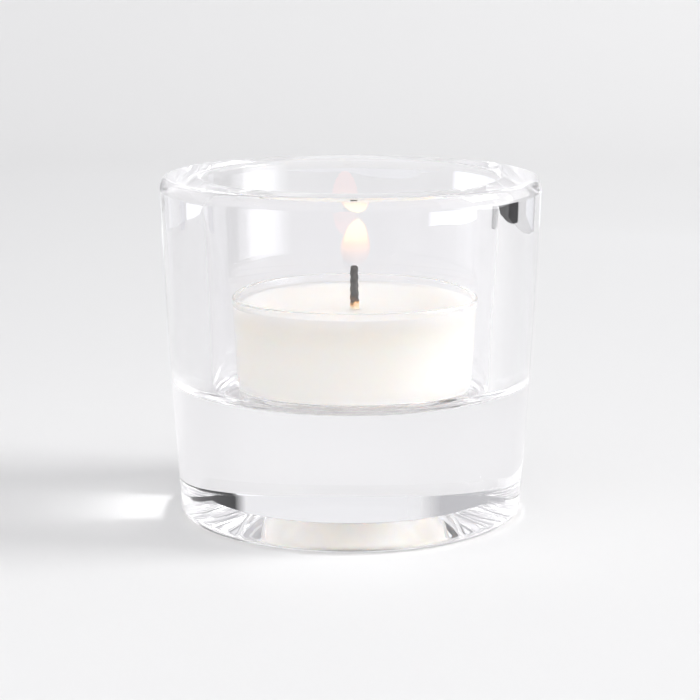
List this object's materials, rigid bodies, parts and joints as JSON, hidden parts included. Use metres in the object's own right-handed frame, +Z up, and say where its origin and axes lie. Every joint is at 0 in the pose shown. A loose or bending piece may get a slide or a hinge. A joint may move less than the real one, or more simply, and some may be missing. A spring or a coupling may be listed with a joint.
{
  "type": "tealight holder",
  "caption": "Round clear-glass tealight holder with a thick wall, rounded rim and deep solid base, with a tealight in a clear cup that lifts out of its well.",
  "frame": {"origin": "centre of the holder's foot, on the surface that it stands on", "axes": "+Z up along the holder's axis; the tealight stands a little towards +X of that axis"},
  "size_m": [0.0598, 0.0598, 0.0541],
  "materials": {
    "holder_glass": "polished",
    "clear_polycarbonate": "gloss",
    "candle_wax": "satin",
    "wick_cotton": "matte",
    "sustainer_tin": "satin"
  },
  "bodies": {
    "holder": {"glass_holder": "holder_glass"},
    "cup": {"tealight_cup": "clear_polycarbonate"},
    "candle": {"wax": "candle_wax", "wick": "wick_cotton", "wick_sustainer": "sustainer_tin"}
  },
  "joints": [
    {"name": "tealight_lift", "type": "slide", "parent": "holder", "child": "cup", "axis": [0, 0, 1], "range_m": [0, 0.05]},
    {"name": "candle_lift", "type": "slide", "parent": "cup", "child": "candle", "axis": [0, 0, 1], "range_m": [0, 0.02]}
  ]
}
